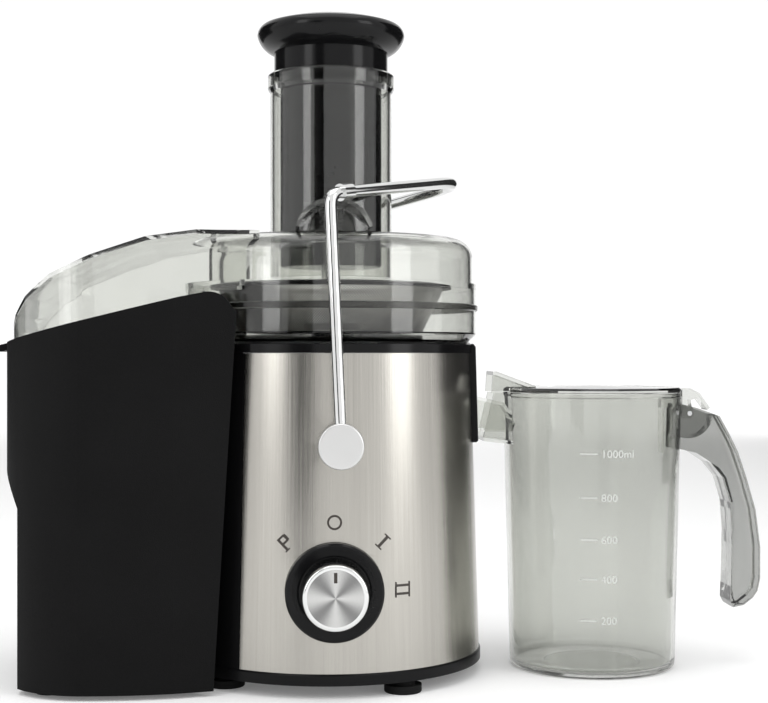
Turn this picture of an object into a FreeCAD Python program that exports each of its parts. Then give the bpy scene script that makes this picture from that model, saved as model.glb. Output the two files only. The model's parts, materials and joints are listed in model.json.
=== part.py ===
import FreeCAD, Part
import math
import os
import re
import Sketcher

# Centrifugal juicer: motor base, filter bowl, lid with feed chute and pulp hood, pusher,
# locking bail, speed knob, pulp bin and a lidded jug. Millimetres, +Z up, the chute axis is
# the Z axis, the front faces -Y, the bin stands at -X and the jug at +X. The table is z = 0.

os.makedirs("parts", exist_ok=True)
doc = FreeCAD.newDocument("centrifugal_juicer")
vec = FreeCAD.Vector

SIZES = {
    # base and cladding
    "foot_height": 8.0, "foot_radius": 11.5, "foot_neck_radius": 7.5,
    "foot_right": 42.0, "foot_right_back": 77.0, "foot_left": 66.0, "foot_left_back": 55.0,
    "base_radius": 95.0, "plate_thick": 3.0,
    "trim_low_top": 15.0, "trim_low_radius": 98.0,
    "wrap_foot_radius": 97.0, "wrap_head_radius": 91.5, "wrap_top": 206.0,
    "wrap_skin": 1.0, "wrap_angle": 252.0, "column_angle": 107.4,
    "shell_wall": 3.0, "seat_gap": 0.05, "part_gap": 0.3,
    "trim_top_radius": 92.6, "trim_top_inner": 80.0, "deck_top": 213.0,
    "vent_length": 26.0, "vent_width": 4.0, "vent_radius": 48.0,
    # spout panel and well
    "panel_low": 148.0, "panel_proud": 3.6, "panel_angle": 22.0,
    "well_half": 14.6, "well_wall": 2.0, "well_back": 63.0,
    # knob and switch
    "knob_height": 63.6, "bezel_radius": 29.6, "bezel_inner": 21.4, "bezel_proud": 5.0,
    "knob_radius": 20.0, "knob_length": 24.0, "face_radius": 16.6, "face_thick": 1.2,
    "spindle_radius": 3.0, "run_gap": 0.05, "mark_radius": 41.4, "mark_height": 9.0,
    "mark_proud": 0.35, "switch_width": 34.0, "switch_depth": 24.0,
    # bail
    "pivot_x": 3.5, "pivot_height": 151.0, "pivot_boss_radius": 11.0, "pivot_pin_radius": 4.0,
    "bail_half_width": 105.0, "bail_rod_radius": 3.75, "bail_cap_radius": 13.7,
    "bail_cap_thick": 12.0, "bail_top": 300.0, "bail_rise": 17.0, "bail_bend": 9.0,
    "bail_loop_x": 37.0, "bail_loop_radius": 42.6, "ferrule_radius": 5.2, "ferrule_length": 9.0,
    # bowl, lid, chute, hood
    "bowl_radius": 95.0, "bowl_wall": 2.4, "bowl_top": 247.0, "bowl_hole": 19.0,
    "spout_half": 12.0, "spout_wall": 2.0,
    "lid_radius": 92.8, "lid_flange_radius": 95.3, "lid_top": 280.0, "lid_wall": 2.4,
    "lid_corner": 12.0, "chute_radius": 39.8, "chute_inner": 37.5, "chute_top": 388.0,
    "chute_low": 255.0, "chute_rim_radius": 41.4, "chute_rim_low": 376.0,
    "hood_half": 87.0, "hood_wall": 2.4, "hood_end": 199.6,
    "saddle_radius": 24.0, "saddle_wall": 2.5, "saddle_centre": 276.0, "saddle_reach": 88.0,
    # pusher
    "pusher_low": 262.0, "pusher_radius": 33.2, "pusher_neck_radius": 37.2, "neck_top": 402.2,
    "pusher_wall": 2.4, "cap_radius": 48.2, "cap_equator": 413.6, "cap_top": 427.0,
    # motor
    "shaft_radius": 4.0, "bearing_radius": 11.0, "bearing_width": 7.0,
    "screw_circle": 48.5, "screw_radius": 2.0, "stack_radius": 54.0,
    "stator_low": 95.0, "stator_high": 140.0, "stator_inner": 24.6, "armature_radius": 23.9,
    "bracket_low": 60.0, "bracket_high": 172.5, "fan_radius": 38.0, "coupling_radius": 15.0,
    # basket
    "basket_low": 219.6, "basket_low_radius": 59.4, "basket_high": 247.6,
    "basket_high_radius": 73.2, "basket_skin": 0.8, "basket_rim_radius": 79.0,
    # bin
    "bin_low": 3.2, "bin_wall": 2.3, "bin_left": 202.5, "bin_left_low": 191.0,
    "bin_half": 94.0, "bin_corner": 55.0, "bin_cone_low": 111.5, "bin_cone_high": 98.6,
    "bin_rim_left": 212.4, "bin_rim_right": 243.2, "bin_foot_radius": 8.0,
    # jug
    "jug_x": 173.0, "jug_low_radius": 54.4, "jug_high_radius": 58.5, "jug_top": 180.0,
    "jug_wall": 2.4, "jug_floor": 3.0, "beak_half": 17.4, "beak_wall": 2.4,
    "handle_half": 14.5, "hinge_x": 62.5, "hinge_height": 166.3, "knuckle_radius": 3.8,
    "hinge_pin_radius": 1.6, "slot_half": 7.5, "tab_clear": 16.6, "jug_lid_low": 180.4,
    "jug_lid_thick": 2.6, "separator_half": 4.5, "separator_drop": 37.0,
}

sheet = doc.addObject("Spreadsheet::Sheet", "sizes")
for row, (alias, value) in enumerate(SIZES.items(), start=1):
    sheet.set("A%d" % row, alias)
    sheet.set("B%d" % row, str(value))
    sheet.setAlias("B%d" % row, alias)
doc.recompute()

FUNCTIONS = {"sqrt", "sin", "cos", "tan", "atan", "asin", "acos", "abs", "min", "max"}


def expr(text):
    """The text as an expression, with every size name pointed at the sheet."""
    def point(match):
        word = match.group(0)
        return word if word in FUNCTIONS else "sizes." + word
    return re.sub(r"[A-Za-z_][A-Za-z_0-9]*", point, str(text))


def value(text):
    return float(sheet.evalExpression(expr(text)))


def wrap_at(height):
    """Outer radius of the tapered cladding at a height."""
    slope = "(wrap_foot_radius - wrap_head_radius) / (wrap_top - trim_low_top)"
    return "(wrap_foot_radius - %s * (%s - trim_low_top))" % (slope, height)


def jug_at(height):
    """Outer radius of the jug wall at a height."""
    slope = "(jug_high_radius - jug_low_radius) / jug_top"
    return "(jug_low_radius + %s * (%s))" % (slope, height)


nodes = []


def new_body(label, export=True):
    body = doc.addObject("PartDesign::Body", label)
    body.Label = label
    body.AllowCompound = True
    if export:
        nodes.append(body)
    return body


def place(obj, x=0, y=0, z=0, axis=(0, 0, 1), angle=0):
    obj.Placement = FreeCAD.Placement(vec(0, 0, 0), FreeCAD.Rotation(vec(*axis), angle))
    for key, text in (("x", x), ("y", y), ("z", z)):
        obj.setExpression("Placement.Base." + key, expr(text))
    return obj


def new_sketch(body, plane, lift=0):
    """A sketch on one of the body's own origin planes, lifted along the plane normal."""
    sketch = body.newObject("Sketcher::SketchObject", body.Name + "_sketch")
    support = [part for part in body.Origin.OriginFeatures if part.Role == plane + "_Plane"][0]
    sketch.AttachmentSupport = (support, [""])
    sketch.MapMode = "FlatFace"
    sketch.setExpression("AttachmentOffset.Base.z", expr(lift))
    return sketch


def hold(sketch, kind, refs, text):
    """One driving distance tied to its expression."""
    index = sketch.addConstraint(Sketcher.Constraint(kind, *refs, value(text)))
    sketch.setExpression("Constraints[%d]" % index, expr(text))


def arc_between(start, end, radius):
    """The arc from start to end that bends left of the run for a positive radius."""
    chord = end - start
    side = vec(-chord.y, chord.x, 0).normalize()
    sag = math.sqrt(max(radius * radius - chord.Length ** 2 / 4.0, 0.0))
    centre = (start + end) * 0.5 + side * (sag if radius > 0 else -sag)
    first, last = (start, end) if radius > 0 else (end, start)
    begin = math.atan2(first.y - centre.y, first.x - centre.x)
    finish = math.atan2(last.y - centre.y, last.x - centre.x)
    if finish < begin:
        finish += 2 * math.pi
    return Part.ArcOfCircle(Part.Circle(centre, vec(0, 0, 1), abs(radius)), begin, finish)


def outline(body, plane, points, lift=0):
    """Closed outline. A third entry on a point turns the run that leaves it into an arc."""
    sketch = new_sketch(body, plane, lift)
    spots = [vec(value(point[0]), value(point[1]), 0) for point in points]
    ends = []
    for index, point in enumerate(points):
        start, end = spots[index], spots[(index + 1) % len(points)]
        if len(point) == 3:
            radius = value(point[2])
            sketch.addGeometry(arc_between(start, end, radius))
            ends.append((1, 2) if radius > 0 else (2, 1))
        else:
            sketch.addGeometry(Part.LineSegment(start, end))
            ends.append((1, 2))
    for index, point in enumerate(points):
        after = (index + 1) % len(points)
        sketch.addConstraint(
            Sketcher.Constraint("Coincident", index, ends[index][1], after, ends[after][0]))
    for index, point in enumerate(points):
        hold(sketch, "DistanceX", (-1, 1, index, ends[index][0]), point[0])
        hold(sketch, "DistanceY", (-1, 1, index, ends[index][0]), point[1])
        if len(point) == 3:
            hold(sketch, "Radius", (index,), "abs(%s)" % point[2])
    return sketch


def circles(body, plane, rounds, lift=0):
    """Full circles, each given as centre and radius."""
    sketch = new_sketch(body, plane, lift)
    for index, (across, along, radius) in enumerate(rounds):
        centre = vec(value(across), value(along), 0)
        sketch.addGeometry(Part.Circle(centre, vec(0, 0, 1), value(radius)))
        hold(sketch, "DistanceX", (-1, 1, index, 3), across)
        hold(sketch, "DistanceY", (-1, 1, index, 3), along)
        hold(sketch, "Radius", (index,), radius)
    return sketch


def turn(body, sketch, cut=False, angle=None):
    """Revolve about the sketch's upright axis, centred on the sketch when the angle is partial."""
    feature = body.newObject("PartDesign::" + ("Groove" if cut else "Revolution"), "turned")
    feature.Profile = sketch
    feature.ReferenceAxis = (sketch, ["V_Axis"])
    feature.Angle = 360
    if angle:
        feature.Midplane = True
        feature.setExpression("Angle", expr(angle))
    body.Tip = feature
    return feature


def push(body, sketch, length, cut=False, both=False, back=False):
    """Pad, or pocket when cut. Both sides of the plane, or backwards, when asked."""
    feature = body.newObject("PartDesign::" + ("Pocket" if cut else "Pad"), "pushed")
    feature.Profile = sketch
    feature.setExpression("Length", expr(length))
    feature.Midplane = both
    feature.Reversed = back
    body.Tip = feature
    return feature


def ring(body, low, high, outer, inner):
    """A plain ring about the Z axis."""
    return turn(body, outline(body, "XZ", [
        (inner, low), (outer, low), (outer, high), (inner, high)]))


def disc(body, low, high, radius):
    return turn(body, outline(body, "XZ", [(0, low), (radius, low), (radius, high), (0, high)]))


def around(body, feature, count):
    """Polar copies about the Z axis."""
    pattern = body.newObject("PartDesign::PolarPattern", "around")
    pattern.Originals = [feature]
    upright = [part for part in body.Origin.OriginFeatures if part.Role == "Z_Axis"][0]
    pattern.Axis = (upright, [""])
    pattern.Angle = 360
    pattern.Occurrences = count
    body.Tip = pattern
    return pattern


def soften(body, radius, wanted):
    """Fillet every edge whose bounding box passes the test."""
    doc.recompute()
    base = body.Tip
    names = ["Edge%d" % (index + 1) for index, edge in enumerate(base.Shape.Edges)
             if wanted(edge)]
    fillet = body.newObject("PartDesign::Fillet", "softened")
    fillet.Base = (base, names)
    fillet.setExpression("Radius", expr(radius))
    body.Tip = fillet
    doc.recompute()
    return fillet


def combine(kind, label, shapes, export=True):
    """Part boolean of whole bodies: Cut, MultiFuse or MultiCommon."""
    result = doc.addObject("Part::" + kind, label)
    result.Label = label
    if kind == "Cut":
        result.Base, result.Tool = shapes
    else:
        result.Shapes = shapes
    if export:
        nodes.append(result)
    return result


FEET = [("foot_right", "-foot_right_back"), ("foot_right", "foot_right_back"),
        ("-foot_left", "-foot_left_back"), ("-foot_left", "foot_left_back")]
SCREWS = [("screw_circle * cos(%d)" % angle, "screw_circle * sin(%d)" % angle)
          for angle in (45, 135, 225, 315)]


def at(spots, radius):
    return [(across, along, radius) for across, along in spots]


def pierce_pivots(body, radius):
    """Bores for the two bail pivots, straight through front and rear."""
    push(body, circles(body, "XZ", [("pivot_x", "pivot_height", radius)]), 240, cut=True,
         both=True)


def pierce_switch(body, radius):
    """Front bore on the knob axis."""
    push(body, circles(body, "XZ", [(0, "knob_height", radius)]), 120, cut=True, back=True)


def pierce_inlet(body, radius):
    """Rear bore for the cord inlet bush."""
    push(body, circles(body, "XZ", [(0, 30, radius)]), 120, cut=True)


# ---------------------------------------------------------------- base and cladding
housing = new_body("motor_housing")
inside = "(wrap_skin + 0.1)"
turn(housing, outline(housing, "XZ", [
    (wrap_at("trim_low_top") + " - " + inside, "trim_low_top + seat_gap"),
    (wrap_at("wrap_top") + " - " + inside, "wrap_top"),
    ("coupling_radius + 1.5", "wrap_top"),
    ("coupling_radius + 1.5", "wrap_top - shell_wall"),
    ("bearing_radius + 0.05", "wrap_top - shell_wall"),
    ("bearing_radius + 0.05", 190),
    ("bearing_radius + 4", 190),
    ("bearing_radius + 4", "wrap_top - shell_wall - 3"),
    (wrap_at("wrap_top") + " - shell_wall - " + inside, "wrap_top - shell_wall - 3"),
    (wrap_at("trim_low_top") + " - shell_wall - " + inside, "trim_low_top + seat_gap"),
]))
push(housing, circles(housing, "XY", at(SCREWS, "screw_radius + 3.5"), 180), 21)
push(housing, circles(housing, "XY", at(SCREWS, "screw_radius + 0.05"), 180), 18, cut=True,
     back=True)
push(housing, outline(housing, "XZ", [
    ("well_back - part_gap", 216), ("well_back - part_gap", 184),
    (84, "panel_low - part_gap"), (104, "panel_low - part_gap"), (104, 216)]),
    "2 * well_half + 2 * part_gap", cut=True, both=True)
PANEL_HALF = "(trim_low_radius + 6) * sin(panel_angle / 2)"
push(housing, outline(housing, "XZ", [
    (86, "panel_low - part_gap"), (104, "panel_low - part_gap"), (104, 216), (86, 216)]),
    "2 * " + PANEL_HALF, cut=True, both=True)
pierce_pivots(housing, "pivot_boss_radius - 2.95")
pierce_switch(housing, 14)
pierce_inlet(housing, 8.05)

wrap = new_body("steel_wrap")
turn(wrap, outline(wrap, "XZ", [
    (wrap_at("trim_low_top") + " - wrap_skin", "trim_low_top + seat_gap"),
    ("wrap_foot_radius", "trim_low_top + seat_gap"),
    ("wrap_head_radius", "wrap_top"),
    ("wrap_head_radius - wrap_skin", "wrap_top")]), angle="wrap_angle")
push(wrap, outline(wrap, "XZ", [
    (60, "panel_low - part_gap"), (110, "panel_low - part_gap"), (110, 216), (60, 216)]),
    "2 * " + PANEL_HALF, cut=True, both=True)
pierce_pivots(wrap, "pivot_boss_radius + 0.1")
pierce_switch(wrap, "bezel_radius + 0.2")
pierce_inlet(wrap, 8.1)

column = place(new_body("side_column"), angle=180)
turn(column, outline(column, "XZ", [
    (wrap_at("trim_low_top") + " - wrap_skin", "trim_low_top + seat_gap"),
    ("wrap_foot_radius + 0.5", "trim_low_top + seat_gap"),
    ("wrap_head_radius + 0.5", "wrap_top"),
    ("wrap_head_radius - wrap_skin", "wrap_top")]), angle="column_angle")

trim_low = new_body("trim_low")
turn(trim_low, outline(trim_low, "XZ", [
    ("base_radius + seat_gap", "foot_height"), ("trim_low_radius", "foot_height"),
    ("trim_low_radius", "trim_low_top - 1"), ("trim_low_radius - 1", "trim_low_top"),
    (80, "trim_low_top"), (80, "foot_height + plate_thick + seat_gap"),
    ("base_radius + seat_gap", "foot_height + plate_thick + seat_gap")]))
push(trim_low, circles(trim_low, "XY", at(FEET, "screw_radius + 0.05"), 0), 30, cut=True,
     back=True)

trim_top = new_body("trim_top")
turn(trim_top, outline(trim_top, "XZ", [
    ("trim_top_inner", "wrap_top + seat_gap"), ("trim_top_radius", "wrap_top + seat_gap"),
    ("trim_top_radius", "deck_top - 1.5"), ("trim_top_radius - 1.5", "deck_top"),
    ("trim_top_inner", "deck_top")]))
push(trim_top, outline(trim_top, "XZ", [(60, 200), (110, 200), (110, 220), (60, 220)]),
     "2 * " + PANEL_HALF, cut=True, both=True)

base_plate = new_body("base_plate")
disc(base_plate, "foot_height", "foot_height + plate_thick", "base_radius")
push(base_plate, circles(base_plate, "XY", at(FEET, "screw_radius + 0.05"), 0), 30, cut=True,
     back=True)
slot = push(base_plate, outline(base_plate, "XY", [
    ("vent_radius - vent_length / 2", "-vent_width / 2"),
    ("vent_radius + vent_length / 2", "-vent_width / 2"),
    ("vent_radius + vent_length / 2", "vent_width / 2"),
    ("vent_radius - vent_length / 2", "vent_width / 2")]), 30, cut=True, back=True)
around(base_plate, slot, 16)

feet = new_body("feet")
push(feet, circles(feet, "XY", at(FEET, "foot_radius")), "foot_height - 3")
push(feet, circles(feet, "XY", at(FEET, "foot_neck_radius"), "foot_height - 3"),
     "3 - seat_gap")
push(feet, circles(feet, "XY", at(FEET, "4.4")), 3.5, cut=True, back=True)
push(feet, circles(feet, "XY", at(FEET, "screw_radius + 0.1")), 30, cut=True, back=True)
soften(feet, 1.2, lambda edge: edge.BoundBox.ZMax < 0.01 and edge.BoundBox.XLength > 20)

foot_screws = new_body("foot_screws")
push(foot_screws, circles(foot_screws, "XY", at(FEET, "4.2"), 1.2), "2.3 - seat_gap")
push(foot_screws, circles(foot_screws, "XY", at(FEET, "screw_radius"), 1.2), 13)

panel = new_body("spout_panel")
turn(panel, outline(panel, "XZ", [
    (wrap_at("panel_low") + " - 3.9", "panel_low"),
    (wrap_at("panel_low") + " + panel_proud - 1", "panel_low"),
    (wrap_at("panel_low") + " + panel_proud", "panel_low + 1"),
    ("wrap_head_radius + panel_proud", "wrap_top + 4"),
    ("wrap_head_radius + panel_proud - 1.5", "wrap_top + 6"),
    ("wrap_head_radius - 3.9", "wrap_top + 6")]), angle="panel_angle - 0.4")
push(panel, outline(panel, "XZ", [
    ("well_back", "wrap_top + 6"), ("well_back", 184), (84, "panel_low"),
    (90, "panel_low"), (90, "wrap_top + 6")]), "2 * well_half", both=True)
push(panel, outline(panel, "XZ", [
    ("well_back + well_wall", 230), ("well_back + well_wall", 185.2),
    (84.8, "panel_low + 2.6"), (110, "panel_low + 2.6"), (110, 182),
    (90.4, 182), (90.4, 230)]), "2 * well_half - 2 * well_wall", cut=True, both=True)

# ---------------------------------------------------------------- filter bowl and lid
bowl = new_body("filter_bowl")
bowl_low = "(deck_top + seat_gap)"
turn(bowl, outline(bowl, "XZ", [
    ("bowl_hole", bowl_low), ("bowl_radius - 5", bowl_low),
    ("bowl_radius", bowl_low + " + 5"),
    ("bowl_radius", "bowl_top"), ("bowl_radius - bowl_wall", "bowl_top"),
    ("bowl_radius - bowl_wall", bowl_low + " + 6"),
    ("bowl_radius - bowl_wall - 4", bowl_low + " + bowl_wall"),
    ("bowl_hole + 2", bowl_low + " + bowl_wall"), ("bowl_hole + 2", "deck_top + 3.4"),
    ("bowl_hole", "deck_top + 3.4")]))
push(bowl, outline(bowl, "XZ", [(68.4, 210), (85.6, 210), (85.6, 220), (68.4, 220)]),
     "2 * spout_half - 2 * spout_wall", cut=True, both=True)

spout = new_body("bowl_spout")
push(spout, outline(spout, "XZ", [
    (66.4, "deck_top"), (66.4, 186.4), (86.6, 156), (99, 154.6), (119.4, 154.6),
    (121.4, 160), (113, 173.6), (91, 178.6), (87.6, 184), (87.6, "deck_top")]),
    "2 * spout_half", both=True)
push(spout, outline(spout, "XZ", [
    (68.4, 222), (68.4, 187.2), (88, 158), (99.6, 156.8), (100.6, 150), (117.6, 150),
    (119.2, 160), (112, 171.6), (90, 176.6), (85.6, 183.4), (85.6, 222)]),
    "2 * spout_half - 2 * spout_wall", cut=True, both=True)

bowl_seal = new_body("bowl_seal")
turn(bowl_seal, outline(bowl_seal, "XZ", [
    ("bowl_radius + seat_gap", 233), ("bowl_radius + 1.2", 233.6),
    ("bowl_radius + 1.2", 236.6), ("bowl_radius + seat_gap", 237.2)]))


def hood_block(label, inset, half, end):
    """Solid of the hood: side profile crossed with its plan outline, drawn in by the inset."""
    side = new_body(label + "_side", export=False)
    top = [(0, 280.4), (-82.6, 280.4), (-113, 275.8), (-145.6, 264.8), (-171, 253.4),
           (-187.4, 240.6), (-195.8, 229.4), (-199.6, 219.4)]
    slopes = [(0, -1), (0, -1), (0.25, -0.97), (0.36, -0.93), (0.5, -0.87), (0.68, -0.73),
              (0.82, -0.57), (1, -0.3)]
    upper = [("%s + %s * %s" % (x, dx, inset), "%s + %s * %s" % (z, dz, inset))
             for (x, z), (dx, dz) in zip(top, slopes)]
    low = "%s - 2 * %s" % (206, inset)
    lower = [("-199.6 + %s" % inset, low), (0, low)]
    push(side, outline(side, "XZ", upper + lower), 240, both=True)
    plan = new_body(label + "_plan", export=False)
    push(plan, outline(plan, "XY", [
        (20, "%s - 10" % half), (-70, "%s - 8" % half, "260"), (-150, half, "58"),
        ("-%s" % end, 34), ("-%s" % end, -34, "58"), (-150, "-%s" % half, "260"),
        (-70, "-(%s - 8)" % half), (20, "-(%s - 10)" % half)], 200), 100)
    return combine("MultiCommon", label, [side, plan], export=False)


hood_outer = hood_block("hood_outer", "0", "hood_half", "hood_end")
hood_inner = hood_block("hood_inner", "hood_wall", "(hood_half - hood_wall)",
                        "(hood_end - hood_wall)")
hood_shell = combine("Cut", "hood_shell", [hood_outer, hood_inner], export=False)

keep_out = new_body("keep_out", export=False)
turn(keep_out, outline(keep_out, "XZ", [
    (0, 190), (112, 190), (112, 243.4), ("lid_flange_radius + 1", 244.4),
    ("lid_flange_radius + 1", "bowl_top + seat_gap"),
    ("lid_radius - lid_wall", "bowl_top + seat_gap"), ("lid_radius - lid_wall", 290), (0, 290)]))
hood_trimmed = combine("Cut", "hood_trimmed", [hood_shell, keep_out], export=False)

lid_round = new_body("lid_round", export=False)
turn(lid_round, outline(lid_round, "XZ", [
    ("chute_inner", "chute_low"), ("chute_radius", "chute_low"),
    ("chute_radius", "lid_top - lid_wall"),
    ("lid_radius - lid_corner", "lid_top - lid_wall", "-(lid_corner - lid_wall)"),
    ("lid_radius - lid_wall", "lid_top - lid_corner"),
    ("lid_radius - lid_wall", "bowl_top + seat_gap"),
    ("lid_flange_radius", "bowl_top + seat_gap"), ("lid_flange_radius", "bowl_top + 3.6"),
    ("lid_radius", "bowl_top + 3.6"),
    ("lid_radius", "lid_top - lid_corner", "lid_corner"),
    ("lid_radius - lid_corner", "lid_top"),
    ("chute_radius + 3", "lid_top + 1", "-3"), ("chute_radius", "lid_top + 4"),
    ("chute_radius", "chute_rim_low"), ("chute_rim_radius", "chute_rim_low + 3"),
    ("chute_rim_radius", "chute_top - 1"), ("chute_rim_radius - 1", "chute_top"),
    ("chute_inner", "chute_top")]))
port = new_body("port_cut", export=False)
push(port, outline(port, "YZ", [
    (-52, "bowl_top + 3.8"), (52, "bowl_top + 3.8"), (52, "lid_top - 6"),
    (44, "lid_top - lid_wall - 0.2"), (-44, "lid_top - lid_wall - 0.2"),
    (-52, "lid_top - 6")], -70), 40, back=True)
lid_ported = combine("Cut", "lid_ported", [lid_round, port], export=False)
lid = combine("MultiFuse", "lid", [lid_ported, hood_trimmed])

saddle = new_body("lock_saddle")
for way in (1, -1):
    arch = outline(saddle, "XZ", [
        ("saddle_radius * sin(75)", "saddle_centre + saddle_radius * cos(75)", "saddle_radius"),
        ("-saddle_radius * sin(75)", "saddle_centre + saddle_radius * cos(75)"),
        ("-(saddle_radius - saddle_wall) * sin(75)",
         "saddle_centre + (saddle_radius - saddle_wall) * cos(75)",
         "-(saddle_radius - saddle_wall)"),
        ("(saddle_radius - saddle_wall) * sin(75)",
         "saddle_centre + (saddle_radius - saddle_wall) * cos(75)")],
        "%d * (chute_rim_radius + 1)" % way)
    push(saddle, arch, "saddle_reach - chute_rim_radius - 1", back=(way < 0))
turn(saddle, outline(saddle, "XZ", [
    (0, 270), ("lid_radius + 6", 270), ("lid_radius + 6", "lid_top - lid_corner"),
    ("lid_radius + seat_gap", "lid_top - lid_corner", "lid_corner"),
    ("lid_radius - lid_corner", "lid_top + seat_gap"),
    ("chute_radius + 3", "lid_top + 1 + seat_gap"), (0, "lid_top + 1 + seat_gap")]), cut=True)

# ---------------------------------------------------------------- knob and switch
FRONT = dict(axis=(1, 0, 0), angle=90)
face_y = "-" + wrap_at("knob_height")
bezel = place(new_body("knob_bezel"), 0, face_y, "knob_height", **FRONT)
turn(bezel, outline(bezel, "XZ", [
    (8, -8), ("bezel_radius", -8), ("bezel_radius", "bezel_proud - 1.2"),
    ("bezel_radius - 1.2", "bezel_proud"), ("bezel_inner + 1", "bezel_proud - 1"),
    ("bezel_inner", "bezel_proud - 2"), ("bezel_inner", -1.2), (8, -1.2)]))
bezel_keep = new_body("bezel_keep", export=False)
turn(bezel_keep, outline(bezel_keep, "XZ", [
    (0, 10), (wrap_at("10") + " - wrap_skin", 10), (wrap_at("120") + " - wrap_skin", 120),
    (0, 120)]))
nodes.remove(bezel)
bezel.Label = "bezel_ring"
knob_bezel = combine("Cut", "knob_bezel_cut", [bezel, bezel_keep])
knob_bezel.Label = "knob_bezel"

knob = place(new_body("knob"), 0, face_y, "knob_height", **FRONT)
turn(knob, outline(knob, "XZ", [
    ("spindle_radius + seat_gap", 0.4), ("knob_radius", 0.4),
    ("knob_radius - 0.6", "knob_length - 2", "1.6"), ("knob_radius - 2.2", "knob_length"),
    ("face_radius + seat_gap", "knob_length"),
    ("face_radius + seat_gap", "knob_length - face_thick - seat_gap"),
    (0, "knob_length - face_thick - seat_gap"), (0, 12), ("spindle_radius + seat_gap", 12)]))
knob_face = place(new_body("knob_face"), 0, face_y, "knob_height", **FRONT)
disc(knob_face, "knob_length - face_thick", "knob_length + 0.2", "face_radius")
pointer_slot = outline(knob_face, "XY", [(-1, 9), (1, 9), (1, 15), (-1, 15)],
                       "knob_length - 0.6")
push(knob_face, pointer_slot, 5, cut=True, back=True)
pointer = place(new_body("knob_pointer"), 0, face_y, "knob_height", **FRONT)
push(pointer, outline(pointer, "XY", [
    ("-1 + seat_gap", "9 + seat_gap"), ("1 - seat_gap", "9 + seat_gap"),
    ("1 - seat_gap", "15 - seat_gap"), ("-1 + seat_gap", "15 - seat_gap")],
    "knob_length - 0.6"), 1.4)
spindle = place(new_body("knob_spindle"), 0, face_y, "knob_height", **FRONT)
disc(spindle, -28, 11.9, "spindle_radius")

switch = place(new_body("rotary_switch"), 0, face_y, "knob_height", **FRONT)
push(switch, outline(switch, "XY", [
    ("-switch_width / 2", "-switch_width / 2"), ("switch_width / 2", "-switch_width / 2"),
    ("switch_width / 2", "switch_width / 2"), ("-switch_width / 2", "switch_width / 2")],
    -34), "switch_depth + 1")
push(switch, circles(switch, "XY", [(0, 0, 7.8)], -10), 8.6)
push(switch, circles(switch, "XY", [(0, 0, "spindle_radius + run_gap")], -30), 60, cut=True,
     back=True)


def stroke(x0, z0, x1, z1):
    return [(x0, z0), (x1, z0), (x1, z1), (x0, z1)]


marks = new_body("marks_plain", export=False)
for angle, strokes in (
        (-45, [(-3, -4.5, -1.6, 4.5), (-1.7, 3.4, 2.2, 4.5), (-1.7, -0.4, 2.2, 0.8),
               (1.4, 0, 3, 4.1), (-4, -4.5, -0.6, -3.8)]),
        (0, []),
        (45, [(-0.8, -4.5, 0.8, 4.5), (-2.4, 3.8, 2.4, 4.5), (-2.4, -4.5, 2.4, -3.8)]),
        (90, [(-3.2, -4.5, -1.8, 4.5), (1.8, -4.5, 3.2, 4.5), (-4.6, 3.8, 4.6, 4.5),
              (-4.6, -4.5, 4.6, -3.8)])):
    turned_x = "mark_radius * sin(%d)" % angle
    turned_z = "knob_height + mark_radius * cos(%d)" % angle
    if not strokes:
        push(marks, circles(marks, "XZ", [
            (turned_x, turned_z, "mark_height / 2"),
            (turned_x, turned_z, "mark_height / 2 - 1.2")], 70), 60)
    for x0, z0, x1, z1 in strokes:
        corners = [("%s + %s * cos(%d) + %s * sin(%d)" % (turned_x, x, angle, z, angle),
                    "%s - %s * sin(%d) + %s * cos(%d)" % (turned_z, x, angle, z, angle))
                   for x, z in stroke(x0, z0, x1, z1)]
        push(marks, outline(marks, "XZ", corners, 70), 60)
marks_skin = new_body("marks_skin", export=False)
turn(marks_skin, outline(marks_skin, "XZ", [
    (wrap_at("20") + " + 0.02", 20), (wrap_at("20") + " + mark_proud", 20),
    (wrap_at("120") + " + mark_proud", 120), (wrap_at("120") + " + 0.02", 120)]))
combine("MultiCommon", "dial_marks", [marks, marks_skin])

# ---------------------------------------------------------------- bail and its pivots
PIVOT = ("pivot_x", "pivot_height")
boss_out = "(bail_half_width - bail_cap_thick / 2 - part_gap)"
bosses = new_body("pivot_bosses")
pins = new_body("pivot_pins")
caps = new_body("bail_caps")
for way in (1, -1):
    back = way < 0
    inner_face = "%d * (wrap_head_radius + 1.2)" % way
    push(bosses, circles(bosses, "XZ", [PIVOT + ("pivot_boss_radius",)], inner_face),
         boss_out + " - wrap_head_radius - 1.2", back=back)
    push(bosses, circles(bosses, "XZ", [PIVOT + ("pivot_boss_radius - 3",)],
                         "%d * 84" % way), "wrap_head_radius + 1.2 - 84", back=back)
    push(bosses, circles(bosses, "XZ", [PIVOT + ("pivot_pin_radius + 0.02",)],
                         "%d * 80" % way), 24, cut=True, back=not back)
    push(pins, circles(pins, "XZ", [PIVOT + ("pivot_pin_radius",)], "%d * 84.5" % way),
         "bail_half_width + 3 - 84.5", back=back)
    push(caps, circles(caps, "XZ", [PIVOT + ("bail_cap_radius",)],
                       "%d * (bail_half_width - bail_cap_thick / 2)" % way),
         "bail_cap_thick", back=back)
    push(caps, circles(caps, "XZ", [PIVOT + ("pivot_pin_radius + run_gap",)],
                       "%d * (bail_half_width - bail_cap_thick / 2)" % way),
         "bail_cap_thick / 2 + 3.1", cut=True, back=not back)
    push(caps, circles(caps, "XY", [
        ("pivot_x", "%d * -bail_half_width" % way, "bail_rod_radius + seat_gap")],
        "pivot_height + 6.5"), 20, cut=True, back=True)
soften(caps, 1.4, lambda edge: edge.BoundBox.YLength < 0.01 and edge.BoundBox.XLength > 20
       and abs(edge.BoundBox.YMin) > 105)


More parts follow.
